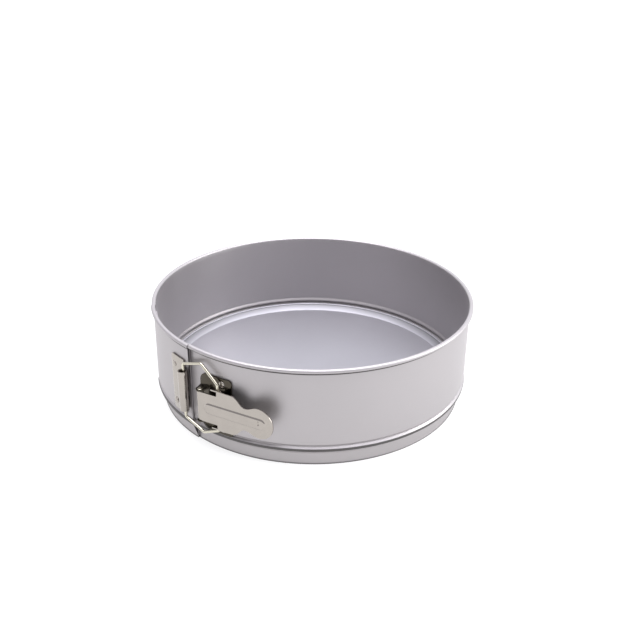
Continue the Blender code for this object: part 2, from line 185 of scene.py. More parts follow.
def sweepRound(name, stations, paintedShade):
    # closed (radius, height) sections of equal length, each at its azimuth; UV holds lengths in metres
    bm = bmesh.new()
    uv = bm.loops.layers.uv.new("UVMap")
    # each vertex carries an amount of painted shade, which darkens the band's colour
    paintedShadeSource = bm.verts.layers.float.new("paintedShade")
    rings = [[bm.verts.new(around(az, p[0], p[1])) for p in section] for az, section in stations]
    for ring in rings:
        for v, amount in zip(ring, paintedShade):
            v[paintedShadeSource] = amount
    count = len(rings[0])
    alongSection = [0.0]
    first = stations[0][1]
    for i in range(count):
        alongSection.append(alongSection[-1] + (Vector(first[(i + 1) % count]) - Vector(first[i])).length)
    turned = [radians(az) * settings["band"]["innerRadius"] for az, _ in stations]
    for s in range(len(rings) - 1):
        for i in range(count):
            j = (i + 1) % count
            face = bm.faces.new((rings[s][i], rings[s][j], rings[s + 1][j], rings[s + 1][i]))
            corners = ((s, i), (s, i + 1), (s + 1, i + 1), (s + 1, i))
            for loop, (a, b) in zip(face.loops, corners):
                loop[uv].uv = (turned[a], alongSection[b])
    for ring in (rings[0][::-1], rings[-1]):
        bm.faces.new(ring)
    return toObject(name, bm)


def spread(first, last, step=1.0):
    count = max(1, round(abs(last - first) / step))
    return [first + (last - first) * i / count for i in range(count + 1)]


def prism(name, outline, low, high):
    # a solid with a flat outline of (x, y) points, from one height to another
    bm = bmesh.new()
    face = bm.faces.new([bm.verts.new((p[0], p[1], low)) for p in outline])
    grown = bmesh.ops.extrude_face_region(bm, geom=[face])
    for v in grown["geom"]:
        if isinstance(v, bmesh.types.BMVert):
            v.co.z = high
    return toObject(name, bm)


def circle(centre, radius, count=24):
    turned = [2 * pi * i / count for i in range(count)]
    return [(centre[0] + radius * cos(a), centre[1] + radius * sin(a)) for a in turned]


def stoodUp(item):
    # a part drawn flat, turned so that its height runs along y
    item.data.transform(Matrix(((1, 0, 0, 0), (0, 0, 1, 0), (0, 1, 0, 0), (0, 0, 0, 1))))
    item.data.flip_normals()
    return item


def tube(name, path, radius, sides=20):
    # a round bar along a path, with rounded tips
    curve = bpy.data.curves.new(name, "CURVE")
    curve.dimensions = "3D"
    curve.bevel_depth = radius
    curve.bevel_resolution = sides // 4
    curve.use_fill_caps = True
    spline = curve.splines.new("POLY")
    tip = (path[0] - path[1]).normalized() * radius
    end = (path[-1] - path[-2]).normalized() * radius
    rounded = [(0.0, 0.02), (0.12, 0.45), (0.4, 0.8), (0.75, 0.97)]
    stations = [(path[0] + tip * (0.6 - 0.6 * a), r) for a, r in rounded]
    stations += [(p, 1.0) for p in path]
    stations += [(path[-1] + end * (0.6 - 0.6 * a), r) for a, r in rounded[::-1]]
    spline.points.add(len(stations) - 1)
    for point, (place, scale) in zip(spline.points, stations):
        point.co = (*place, 1.0)
        point.radius = scale
    return bake(newObject(name, curve), 60.0)


def nodeTools(material):
    material.use_nodes = True
    tree = material.node_tree
    shader = tree.nodes["Principled BSDF"]

    def add(kind, **values):
        node = tree.nodes.new(kind)
        for key, value in values.items():
            if hasattr(node, key):
                setattr(node, key, value)
            else:
                node.inputs[key].default_value = value
        return node

    def join(source, target):
        tree.links.new(source, target)

    return shader, add, join


def mixNumber(add, join, factor, low, high):
    node = add("ShaderNodeMapRange")
    join(factor, node.inputs["Value"])
    node.inputs["To Min"].default_value = low
    node.inputs["To Max"].default_value = high
    return node.outputs["Result"]


def noise(add, join, coords, scale, detail=3.0, stretch=(1.0, 1.0, 1.0), roughness=0.5):
    mapping = add("ShaderNodeMapping")
    mapping.inputs["Scale"].default_value = stretch
    join(coords, mapping.inputs["Vector"])
    texture = add("ShaderNodeTexNoise")
    texture.inputs["Scale"].default_value = scale
    texture.inputs["Detail"].default_value = detail
    texture.inputs["Roughness"].default_value = roughness
    join(mapping.outputs["Vector"], texture.inputs["Vector"])
    return texture.outputs["Fac"]


def satinAluminium(name, colour, roughness, grain, grainStretch, useUv):
    # matt anodised sheet: fine tooth, faint rolling grain, handling marks
    material = bpy.data.materials.new(name)
    shader, add, join = nodeTools(material)
    coordNode = add("ShaderNodeTexCoord")
    coords = coordNode.outputs["UV"] if useUv else coordNode.outputs["Object"]
    place = coordNode.outputs["Object"]
    shader.inputs["Metallic"].default_value = 0.92
    tooth = noise(add, join, place, 2600.0, 2.0)
    rolled = noise(add, join, coords, grain, 3.0, grainStretch)
    handled = noise(add, join, place, 22.0, 4.0)
    cloud = noise(add, join, place, 9.0, 2.0)
    tint = add("ShaderNodeMix", data_type="RGBA")
    tint.inputs[6].default_value = (*[c * 0.94 for c in colour], 1.0)
    tint.inputs[7].default_value = (*[min(1.0, c * 1.05) for c in colour], 1.0)
    blendOf = add("ShaderNodeMath", operation="MULTIPLY_ADD")
    join(rolled, blendOf.inputs[0])
    blendOf.inputs[1].default_value = 0.6
    join(mixNumber(add, join, cloud, -0.1, 0.5), blendOf.inputs[2])
    join(blendOf.outputs[0], tint.inputs[0])
    # painted shade: the attribute's amount mixes the colour towards near black
    paintedShadeSource = add("ShaderNodeAttribute", attribute_name="paintedShade")
    shadeDarkened = add("ShaderNodeMix", data_type="RGBA")
    join(paintedShadeSource.outputs["Fac"], shadeDarkened.inputs[0])
    join(tint.outputs[2], shadeDarkened.inputs[6])
    shadeDarkened.inputs[7].default_value = (0.05, 0.048, 0.045, 1.0)
    join(shadeDarkened.outputs[2], shader.inputs["Base Color"])
    rough = add("ShaderNodeMath", operation="ADD")
    join(mixNumber(add, join, handled, roughness - 0.07, roughness + 0.07), rough.inputs[0])
    join(mixNumber(add, join, rolled, -0.03, 0.03), rough.inputs[1])
    join(rough.outputs[0], shader.inputs["Roughness"])
    height = add("ShaderNodeMath", operation="MULTIPLY_ADD")
    join(rolled, height.inputs[0])
    height.inputs[1].default_value = 0.8
    join(tooth, height.inputs[2])
    bump = add("ShaderNodeBump")
    bump.inputs["Strength"].default_value = 0.25
    bump.inputs["Distance"].default_value = 0.00002
    join(height.outputs[0], bump.inputs["Height"])
    join(bump.outputs["Normal"], shader.inputs["Normal"])
    return material


def brightPlate(name, colour, roughness, waviness, lines):
    # nickel plate on pressed steel: slightly wavy, fine handling scratches, duller in patches
    material = bpy.data.materials.new(name)
    shader, add, join = nodeTools(material)
    place = add("ShaderNodeTexCoord").outputs["Object"]
    shader.inputs["Metallic"].default_value = 1.0
    patches = noise(add, join, place, 130.0, 4.0)
    scratches = noise(add, join, place, 900.0, 3.0, lines, 0.7)
    waves = noise(add, join, place, 95.0, 1.0)
    tint = add("ShaderNodeMix", data_type="RGBA")
    tint.inputs[6].default_value = (*[c * 0.9 for c in colour], 1.0)
    tint.inputs[7].default_value = (*[min(1.0, c * 1.04) for c in colour], 1.0)
    join(patches, tint.inputs[0])
    join(tint.outputs[2], shader.inputs["Base Color"])
    rough = add("ShaderNodeMath", operation="ADD")
    join(mixNumber(add, join, patches, roughness * 0.6, roughness * 1.5), rough.inputs[0])
    join(mixNumber(add, join, scratches, -0.02, 0.05), rough.inputs[1])
    join(rough.outputs[0], shader.inputs["Roughness"])
    fine = add("ShaderNodeBump")
    fine.inputs["Strength"].default_value = 0.12
    fine.inputs["Distance"].default_value = 0.00001
    join(scratches, fine.inputs["Height"])
    wavy = add("ShaderNodeBump")
    wavy.inputs["Strength"].default_value = 0.6
    wavy.inputs["Distance"].default_value = waviness
    join(waves, wavy.inputs["Height"])
    join(fine.outputs["Normal"], wavy.inputs["Normal"])
    join(wavy.outputs["Normal"], shader.inputs["Normal"])
    return material


settings = {
    "metals": {
        "band": (0.44, 0.42, 0.425),
        "base": (0.42, 0.415, 0.443),
        "plate": (0.40, 0.37, 0.335),
        # the bracket's nickel is painted near black: painted shade
        "bracket": (0.075, 0.066, 0.052),
        "wire": (0.60, 0.57, 0.47),
    },
    "band": {
        "innerRadius": 116.0 * mm,
        "sheet": 0.9 * mm,
        "overlapGap": 0.3 * mm,
        "footRadius": 112.0 * mm,
        "shoulderLow": 9.2 * mm,
        "shoulderHigh": 12.6 * mm,
        "grooveRadius": 116.5 * mm,
        "grooveTop": 13.9 * mm,
        "ridgeRadius": 115.0 * mm,
        "ridgeLow": 15.3 * mm,
        "ridgeHigh": 16.3 * mm,
        "wallLow": 18.0 * mm,
        "rimInner": 116.2 * mm,
        "rimOuter": 119.4 * mm,
        "rimHalfHeight": 1.5 * mm,
        "rimStep": 0.6 * mm,
        "rollTurn": 284.0,
        "tongueDrop": 3.3 * mm,
        "seam": 43.8,
        "seamGap": 0.15,
        "tongueEnd": 76.2,
        "joggle": 77.8,
        "joggleLength": 2.0,
        "flexFrom": 140.0,
    },
}

metals = settings["metals"]
bandMetal = satinAluminium("band anodised", metals["band"], 0.47, 1.0, (160.0, 2600.0, 1.0), True)
baseMetal = satinAluminium("base anodised", metals["base"], 0.52, 340.0, (1.0, 1.0, 1.0), False)
plateMetal = brightPlate("nickel plate", metals["plate"], 0.13, 0.00035, (1.0, 1.0, 0.25))
# a darkened copy of the nickel for the bracket, as painted shade
shadedBracketNickel = brightPlate("shaded nickel", metals["bracket"], 0.16, 0.00035, (1.0, 1.0, 0.25))
wireMetal = brightPlate("bright wire", metals["wire"], 0.14, 0.0001, (1.0, 1.0, 1.0))


def finish(item, material, slot, body, *nodes):
    item.data.materials.clear()
    item.data.materials.append(material)
    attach(item, body)
    if nodes:
        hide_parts(*nodes)
    return item


def wallFace(top):
    # the inner face from foot to top, corners pressed round
    b = settings["band"]
    points = [
        (b["footRadius"] + 0.5 * mm, 0.0),
        (b["footRadius"], 0.8 * mm),
        (b["footRadius"], b["shoulderLow"]),
        (b["innerRadius"] + 0.2 * mm, b["shoulderHigh"]),
        (b["grooveRadius"], b["grooveTop"]),
        (b["ridgeRadius"], b["ridgeLow"]),
        (b["ridgeRadius"], b["ridgeHigh"]),
        (b["innerRadius"], b["wallLow"]),
        (b["innerRadius"], top - 1.5 * mm),
        (b["innerRadius"], top - 0.9 * mm),
        (b["innerRadius"], top),
    ]
    radii = [0, 0.6 * mm, 1.4 * mm, 1.0 * mm, 0.55 * mm, 0.55 * mm, 0.55 * mm, 1.4 * mm, 0, 0, 0]
    return filletPath(points, radii, 5)


def bandSection(wallShift, rollShift):
    b = settings["band"]
    face = wallFace(panTop - 2.2 * b["rimHalfHeight"])
    inner = offsetPath(face, wallShift)
    outer = offsetPath(face, wallShift + b["sheet"])
    inner[0].y = 0.0
    outer[0].y = 0.0
    middle = (b["rimInner"] + b["rimOuter"]) / 2 + rollShift
    half = (b["rimOuter"] - b["rimInner"]) / 2
    steps = 22
    roll = []
    for i in range(steps + 1):
        a = pi - radians(b["rollTurn"]) * i / steps
        roll.append(Vector((middle + half * cos(a), panTop - b["rimHalfHeight"] * (1.0 - sin(a)))))
    crevice = Vector((outer[-1].x + 0.1 * mm, roll[-1].y + 0.7 * mm))
    return inner + roll + [crevice] + outer[::-1]


def fullSection():
    return bandSection(0.0, 0.0)


def overlapSection():
    b = settings["band"]
    return bandSection(b["sheet"] + b["overlapGap"], b["rimStep"])


def tongueSection():
    b = settings["band"]
    top = panTop - b["tongueDrop"]
    face = wallFace(top)
    inner = offsetPath(face, 0.0)
    outer = offsetPath(face, b["sheet"])
    inner[0].y = 0.0
    outer[0].y = 0.0
    extra = len(fullSection()) - 2 * len(face)
    edge = [Vector((b["innerRadius"] + b["sheet"] * (i + 1) / (extra + 1), top)) for i in range(extra)]
    return inner + edge + outer[::-1]


def paintedShadeOf(section):
    # painted shade: dark lines under the roll and in the outer groove, and a painted contact shadow along
    # the foot; the tongue takes the full section's amounts too, so its bare top edge is painted dark when
    # the latch is open
    b = settings["band"]
    top = panTop - 2 * b["rimHalfHeight"]
    amounts = []
    for i, (radius, z) in enumerate(section):
        outside = radius > b["innerRadius"] + 0.45 * mm or i > len(section) // 2
        amount = 0.0
        underRoll = top - 1.4 * mm < z < top + 0.9 * mm and radius < b["innerRadius"] + 1.9 * mm
        if outside and underRoll:
            amount = 1.0
        if i > len(section) // 2 and abs(z - b["grooveTop"] + 0.6 * mm) < 1.0 * mm:
            amount = 0.85
        if z < 0.9 * mm:
            amount = 1.0
        amounts.append(amount)
    return amounts


def makeBand():
    b = settings["band"]
    full, over, tongue = fullSection(), overlapSection(), tongueSection()
    # painted shade amounts, the same for every section of the band
    paintedShade = paintedShadeOf(full)
    front = [(a, tongue) for a in spread(b["tongueEnd"], b["seam"])]
    front += [(a, full) for a in spread(b["seam"] - b["seamGap"], -b["flexFrom"])]
    right = sweepRound("bandFront", front, paintedShade)
    back = sweepRound("bandBack", [(a, full) for a in spread(-b["flexFrom"], -360.0 + b["flexFrom"])], paintedShade)
    left = [(a, full) for a in spread(b["flexFrom"], b["joggle"] + b["joggleLength"])]
    for i in range(1, 5):
        t = i / 5
        t = t * t * (3 - 2 * t)
        mixed = [f.lerp(o, t) for f, o in zip(full, over)]
        left.append((b["joggle"] + b["joggleLength"] * (1 - i / 5), mixed))
    left += [(a, over) for a in spread(b["joggle"], b["seam"])]
    side = sweepRound("bandLeft", left, paintedShade)
    finish(right, bandMetal, "band_metal", "pan", "band_right")
    finish(side, bandMetal, "band_metal", "left_end", "band_left")
    back.data.materials.append(bandMetal)
    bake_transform(back)
    print("band:", [len(piece.data.polygons) for piece in (right, back, side)])


settings["base"] = {
    "radius": 114.0 * mm,
    "floor": 9.4 * mm,
    "sheet": 0.9 * mm,
    "floorRadius": 107.8 * mm,
    # share of painted shade on the disc's step up to the edge bead
    "stepPaintedShade": 0.5,
    "edgeInner": 111.9 * mm,
    "edgeTop": 14.0 * mm,
    "edgeLow": 11.3 * mm,
}


def makeBase():
    # a pressed disc: flat floor, a short steep step up, and a hemmed edge bead
    b = settings["base"]
    bead = (b["radius"] - b["edgeInner"]) / 2
    middle = b["edgeInner"] + bead
    top = [(0.0, b["floor"]), (b["floorRadius"], b["floor"])]
    top += [(b["edgeInner"] - 0.5 * mm, b["edgeTop"] - 1.4 * mm)]
    top = filletPath(top, 1.2 * mm, 8)
    for i in range(13):
        a = pi * (1.0 - i / 12)
        top.append(Vector((middle + bead * cos(a), b["edgeTop"] - bead * (1 - sin(a)))))
    low = [
        (b["radius"], b["edgeLow"] + 0.5 * mm),
        (b["radius"] - 0.5 * mm, b["edgeLow"]),
        (b["edgeInner"] + 0.4 * mm, b["edgeLow"]),
        (b["floorRadius"] + 0.8 * mm, b["floor"] - b["sheet"]),
        (0.0, b["floor"] - b["sheet"]),
    ]
    profile = top + filletPath(low, 0.3 * mm, 3)
    bm = bmesh.new()
    uv = bm.loops.layers.uv.new("UVMap")
    turns = 240
    rings = []
    for x, z in profile:
        if x < 1e-6:
            rings.append([bm.verts.new(around(0.0, 0.0, z))])
        else:
            rings.append([bm.verts.new(around(360.0 * k / turns, x, z)) for k in range(turns)])
    for s in range(len(rings) - 1):
        for k in range(turns):
            n = (k + 1) % turns
            a, c = rings[s], rings[s + 1]
            corner = [a[k % len(a)], a[n % len(a)], c[n % len(c)], c[k % len(c)]]
            unique = []
            for v in corner:
                if v not in unique:
                    unique.append(v)
            face = bm.faces.new(unique)
            for loop in face.loops:
                loop[uv].uv = (loop.vert.co.x, loop.vert.co.y)
    base = toObject("baseDisc", bm)
    # painted shade: the step up to the edge bead is darkened half-way towards near black
    stepShadeLayer = base.data.attributes.new("paintedShade", "FLOAT", "POINT")
    for i, vertex in enumerate(base.data.vertices):
        out = hypot(vertex.co.x - panAxis.x, vertex.co.y - panAxis.y)
        if vertex.co.z > b["floor"] + 0.5 * mm and out < b["edgeInner"] + 0.1 * mm:
            stepShadeLayer.data[i].value = b["stepPaintedShade"]
    finish(base, baseMetal, "base_metal", "base", "base_disc")
    print("base disc:", len(base.data.polygons))


settings["lever"] = {
    "angle": 28.0,
    "length": 57.0 * mm,
    "sheet": 0.9 * mm,
    "barrel": 2.2 * mm,
    "bore": 1.2 * mm,
    "narrow": 11.0 * mm,
    "wide": 15.0 * mm,
    "neck": 8.2 * mm,
    "thumb": 11.0 * mm,
    "stepAt": 14.2 * mm,
    "shoulderAt": 26.3 * mm,
    "neckAt": 35.6 * mm,
    "ribFrom": 4.5 * mm,
    "ribTo": 51.5 * mm,
    "ribHalf": 3.7 * mm,
    "ribHeight": 0.75 * mm,
    "cell": 0.45 * mm,
    "earRadius": 2.6 * mm,
    "earHalf": 4.2 * mm,
    "earBore": 1.4 * mm,
    "barrelTurn": 325.0,
}
leverAngle = radians(settings["lever"]["angle"])
alongLever = Vector((cos(leverAngle), -sin(leverAngle), 0.0))
offLever = Vector((-sin(leverAngle), -cos(leverAngle), 0.0))
bailOnLever = Vector(((bailPivot - pivot).dot(alongLever), (bailPivot - pivot).dot(offLever)))
latchHeight = pivot.z


def onLever(item):
    # from the lever's own drawing (x along it, y up it, z out of its face) to its place
    item.data.transform(Matrix((
        (alongLever.x, 0.0, offLever.x, pivot.x),
        (alongLever.y, 0.0, offLever.y, pivot.y),
        (0.0, 1.0, 0.0, latchHeight),
        (0.0, 0.0, 0.0, 1.0),
    )))
    return item


def leverOutline():
    c = settings["lever"]
    thumbAt = c["length"] - c["thumb"]
    upper = filletPath([
        (0.0, c["narrow"]),
        (c["stepAt"], c["narrow"]),
        (c["stepAt"], c["wide"]),
        (c["shoulderAt"] - 0.4 * mm, c["wide"] - 0.3 * mm),
    ], [0, 0.6 * mm, 0.8 * mm, 0], 4)
    points = [tuple(p) for p in upper]
    meet = radians(118.0)
    joined = Vector((thumbAt + c["thumb"] * cos(meet), c["thumb"] * sin(meet)))
    steps = 12
    for i in range(1, steps + 1):
        t = i / steps
        fall = (1 + cos(pi * t)) / 2
        x = c["shoulderAt"] + (c["neckAt"] - c["shoulderAt"]) * t
        points.append((x, c["neck"] + (c["wide"] - 0.5 * mm - c["neck"]) * fall))
    for i in range(1, 6):
        t = i / 6
        x = c["neckAt"] + (joined.x - c["neckAt"]) * t
        points.append((x, c["neck"] + (joined.y - c["neck"]) * t ** 1.8))
    turns = 26
    thumb = []
    for i in range(turns + 1):
        a = meet * (1 - i / turns)
        thumb.append((thumbAt + c["thumb"] * cos(a), c["thumb"] * sin(a)))
    points += thumb
    return points + [(x, -y) for x, y in points[-2::-1]]


def ribRise(x, y):
    # how far the pressed rib stands up at a point of the plate
    c = settings["lever"]
    centre = min(max(x, c["ribFrom"] + c["ribHalf"]), c["ribTo"] - c["ribHalf"])
    away = hypot(x - centre, y)
    t = min(max((c["ribHalf"] + 0.45 * mm - away) / (0.9 * mm), 0.0), 1.0)
    rise = c["ribHeight"] * t * t * (3 - 2 * t)
    dimple = hypot((x - (c["ribTo"] - 5.5 * mm)) / 0.55, (y - 0.6 * mm) / 1.6)
    u = min(max((1.35 * mm - dimple) / (0.7 * mm), 0.0), 1.0)
    return rise - 0.8 * mm * u * u * (3 - 2 * u)


def pressedSlab(name, low, high, face, thickness, cell, rise):
    # a slab whose face and back both follow a rise, as pressed sheet does
    nx = round((high[0] - low[0]) / cell)
    ny = round((high[1] - low[1]) / cell)
    bm = bmesh.new()
    sheets = []
    for level in (face, face - thickness):
        grid = []
        for i in range(nx + 1):
            x = low[0] + (high[0] - low[0]) * i / nx
            column = []
            for j in range(ny + 1):
                y = low[1] + (high[1] - low[1]) * j / ny
                column.append(bm.verts.new((x, y, level + rise(x, y))))
            grid.append(column)
        sheets.append(grid)
    for grid, turned in zip(sheets, (False, True)):
        for i in range(nx):
            for j in range(ny):
                quad = [grid[i][j], grid[i + 1][j], grid[i + 1][j + 1], grid[i][j + 1]]
                bm.faces.new(quad[::-1] if turned else quad)
    border = [(i, 0) for i in range(nx)] + [(nx, j) for j in range(ny)]
    border += [(i, ny) for i in range(nx, 0, -1)] + [(0, j) for j in range(ny, 0, -1)]
    for (i, j), (k, m) in zip(border, border[1:] + border[:1]):
        bm.faces.new((sheets[0][i][j], sheets[1][i][j], sheets[1][k][m], sheets[0][k][m]))
    return toObject(name, bm)


def earOutline(centre, radius, root, halfWidth):
    # round about a hole, straight back to its root, in the plan of the lever or bracket
    points = []
    back = (Vector(root) - Vector(centre)).normalized()
    side = Vector((-back.y, back.x))
    for i in range(17):
        a = -pi / 2 + pi * i / 16
        points.append(Vector(centre) - back * (radius * cos(a)) + side * (radius * sin(a)))
    return points + [Vector(root) + side * halfWidth, Vector(root) - side * halfWidth]


def makeLever():
    c = settings["lever"]
    margin = 1.5 * mm
    plate = pressedSlab(
        "lever", (-margin, -c["wide"] - margin), (c["length"] + margin, c["wide"] + margin),
        c["barrel"], c["sheet"], c["cell"], ribRise)
    combine(plate, prism("outline", leverOutline(), -5 * mm, 9 * mm), "INTERSECT")
    # the end is rolled into a barrel round the pin, its lip against the back of the plate
    turns = 40
    curl = []
    for i in range(turns + 1):
        a = radians(90.0 + c["barrelTurn"] * i / turns)
        curl.append(Vector((c["barrel"] * cos(a), c["barrel"] * sin(a))))
    for i in range(turns + 1):
        a = radians(90.0 + c["barrelTurn"] * (1 - i / turns))
        curl.append(Vector((c["bore"] * cos(a), c["bore"] * sin(a))))
    combine(plate, stoodUp(prism("barrel", curl, -c["narrow"], c["narrow"])), "UNION")
    for side in (-1, 1):
        low = side * c["wide"] - (c["sheet"] if side > 0 else 0.0)
        root = (bailOnLever.x, c["barrel"] - c["sheet"] / 2)
        outline = earOutline(bailOnLever, c["earRadius"], root, c["earHalf"])
        ear = prism("ear", outline, low, low + c["sheet"])
        hole = circle(bailOnLever, c["earBore"])
        combine(ear, prism("hole", hole, low - mm, low + 2 * mm), "DIFFERENCE")
        combine(plate, stoodUp(ear), "UNION")
    softenEdges(plate, 0.14 * mm, 2, 50.0)
    onLever(plate)
    plate.data.flip_normals()
    finish(plate, plateMetal, "latch_metal", "lever", "latch_lever")
    print("lever:", len(plate.data.polygons))


settings["bail"] = {
    "wire": 1.1 * mm,
    "legAzimuth": 45.4,
    "legRadius": 121.3 * mm,
    "bendAt": 0.55,
    "tipHalf": 12.9 * mm,
    "endHalf": 17.6 * mm,
    "endRise": 0.8 * mm,
    "bendHalf": 26.6 * mm,
    "cornerHalf": 20.5 * mm,
    "rise": 2.9 * mm,
    "bendRadius": 2.2 * mm,
}


def makeBail():
    c = settings["bail"]
    leg = around(c["legAzimuth"], c["legRadius"])
    ends = Vector((bailPivot.x, bailPivot.y, 0.0))
    bend = leg.lerp(ends, c["bendAt"])
    corners = [(ends, c["endRise"], c["tipHalf"]), (ends, c["endRise"], c["endHalf"])]
    corners += [(bend, c["rise"], c["bendHalf"]), (leg, c["rise"], c["cornerHalf"])]
    points = [p + up * (latchHeight + rise + z) for p, rise, z in corners]
    points += [p + up * (latchHeight + rise - z) for p, rise, z in corners[::-1]]
    path = [points[0]]
    for before, here, after in zip(points, points[1:], points[2:]):
        back, on = (before - here).normalized(), (after - here).normalized()
        half = back.angle(on) / 2
        centre = here + (back + on).normalized() * (c["bendRadius"] / sin(half))
        reach = c["bendRadius"] * cos(half) / sin(half)
        first, last = here + back * reach - centre, here + on * reach - centre
        for k in range(9):
            path.append(centre + first.lerp(last, k / 8).normalized() * c["bendRadius"])
    path.append(points[-1])
    bail = tube("bail", path, c["wire"])
    finish(bail, wireMetal, "wire_metal", "bail", "bail_wire")
    print("bail:", len(bail.data.polygons))


settings["keeper"] = {
    "leftAzimuth": 53.8,
    "rightAzimuth": 46.4,
    "low": 18.6 * mm,
    "high": 61.4 * mm,
    "corner": 1.8 * mm,
    "sheet": 0.9 * mm,
    "curlInner": 2.4 * mm,
    "curlSetLeft": 0.6 * mm,
    "curlFrom": 232.0,
    "curlTurn": 322.0,
    "curlLow": 24.4 * mm,
    "curlHigh": 54.9 * mm,
}
settings["bracket"] = {
    "leftAzimuth": 39.0,
    "rightAzimuth": 26.3,
    "halfHeight": 21.6 * mm,
    "leftCorner": 6.0 * mm,
    "rightCorner": 2.5 * mm,
    "sheet": 0.9 * mm,
    "earAt": 11.3 * mm,
    "earRadius": 3.0 * mm,
    "earHalf": 4.5 * mm,
    "bore": 1.2 * mm,
}


def bentPlate(name, leftAzimuth, rightAzimuth, seat, thickness, low, high, leftCorner, rightCorner):
    # a flat plate with rounded corners, wrapped round the wall
    width = radians(leftAzimuth - rightAzimuth) * seat
    corners = [(-width / 2, low), (width / 2, low), (width / 2, high), (-width / 2, high)]
    radii = [leftCorner, rightCorner, rightCorner, leftCorner]
    outline = filletPath(corners, radii, 8, closed=True)
    plate = prism(name, outline, 0.0, thickness)
    bm = bmesh.new()
    bm.from_mesh(plate.data)
    cuts = 24
    for i in range(1, cuts):
        x = -width / 2 + width * i / cuts
        everything = bm.verts[:] + bm.edges[:] + bm.faces[:]
        bmesh.ops.bisect_plane(bm, geom=everything, plane_co=(x, 0, 0), plane_no=(1, 0, 0), dist=1e-7)
    middle = (leftAzimuth + rightAzimuth) / 2
    for v in bm.verts:
        azimuth = middle - v.co.x / seat * 180 / pi
        v.co = around(azimuth, seat + v.co.z, v.co.y)
    facesOut(bm)
    bm.to_mesh(plate.data)
    bm.free()
    return plate


def makeKeeper():
    c = settings["keeper"]
    b = settings["band"]
    bail = settings["bail"]
    seat = b["innerRadius"] + 2 * b["sheet"] + 2 * b["overlapGap"]
    plate = bentPlate("keeper", c["leftAzimuth"], c["rightAzimuth"], seat, c["sheet"],
                      c["low"], c["high"], c["corner"], c["corner"])
    out, right = outward(bail["legAzimuth"]), rightward(bail["legAzimuth"])
    middle = around(bail["legAzimuth"], seat + c["sheet"] + c["curlInner"]) - right * c["curlSetLeft"]
    # the sheet rises on the left of the wire, goes over it and tucks back in behind it
    steps = 44
    ring = []
    inside = [(c["curlInner"], i) for i in range(steps + 1)]
    outside = [(c["curlInner"] + c["sheet"], i) for i in range(steps, -1, -1)]
    for radius, i in inside + outside:
        a = radians(c["curlFrom"] - c["curlTurn"] * i / steps)
        ring.append(middle + right * (radius * cos(a)) + out * (radius * sin(a)))
    curl = prism("curl", ring, c["curlLow"], c["curlHigh"])
    combine(plate, curl, "UNION")
    softenEdges(plate, 0.13 * mm, 2, 50.0)
    finish(plate, plateMetal, "latch_metal", "left_end", "keeper_plate")
    print("keeper:", len(plate.data.polygons))


def makeBracket():
    c = settings["bracket"]
    b = settings["band"]
    seat = b["innerRadius"] + b["sheet"] + b["overlapGap"]
    plate = bentPlate("bracket", c["leftAzimuth"], c["rightAzimuth"], seat, c["sheet"],
                      latchHeight - c["halfHeight"], latchHeight + c["halfHeight"],
                      c["leftCorner"], c["rightCorner"])
    flat = pivot - panAxis
    azimuth = atan2(-flat.x, -flat.y) * 180 / pi
    root = around(azimuth, seat + c["sheet"] / 2)
    for side in (-1, 1):
        low = latchHeight + side * c["earAt"] - (c["sheet"] if side < 0 else 0.0)
        outline = earOutline(pivot.xy, c["earRadius"], root.xy, c["earHalf"])
        ear = prism("ear", outline, low, low + c["sheet"])
        hole = circle(pivot, c["bore"])
        combine(ear, prism("hole", hole, low - mm, low + 2 * mm), "DIFFERENCE")
        combine(plate, ear, "UNION")
    softenEdges(plate, 0.13 * mm, 2, 50.0)
    finish(plate, shadedBracketNickel, "latch_metal", "pan", "latch_bracket")
    print("bracket:", len(plate.data.polygons))


settings["pin"] = {"radius": 0.95 * mm, "headRadius": 1.9 * mm, "half": 12.3 * mm, "head": 0.4 * mm}


def makePin():
    c = settings["pin"]
    side = [(0.0, c["half"] + c["head"])]
    for i in range(1, 7):
        a = pi / 2 * i / 6
        side.append((c["headRadius"] * sin(a), c["half"] + c["head"] * (0.25 + 0.75 * cos(a))))
    side += [(c["headRadius"], c["half"]), (c["radius"], c["half"])]
    profile = side + [(x, -z) for x, z in side[::-1]]
    bm = bmesh.new()
    turns = 32
    rings = []
    for x, z in profile:
        spots = circle(pivot, x, turns) if x > 1e-6 else [pivot.xy]
        rings.append([bm.verts.new((*spot, latchHeight + z)) for spot in spots])
    for a, c2 in zip(rings, rings[1:]):
        for k in range(turns):
            n = (k + 1) % turns
            corner = [a[k % len(a)], a[n % len(a)], c2[n % len(c2)], c2[k % len(c2)]]
            bm.faces.new([v for i, v in enumerate(corner) if v not in corner[:i]])
    pin = toObject("leverPin", bm)
    finish(pin, wireMetal, "wire_metal", "pan", "lever_pin")


settings["rivets"] = {
    "headRadius": 2.3 * mm,
    "headHeight": 0.85 * mm,
    "shankRadius": 1.2 * mm,
    "shankLength": 2.0 * mm,
    "keeperAzimuth": 52.1,
    "keeperHalf": 14.6 * mm,
    "keeperRise": 2.5 * mm,
    "bracketAzimuth": 29.9,
    "bracketHalf": 17.4 * mm,
}
rivetSizes = {
    "Head Radius": "headRadius",
    "Head Height": "headHeight",
    "Shank Radius": "shankRadius",
    "Shank Length": "shankLength",
}


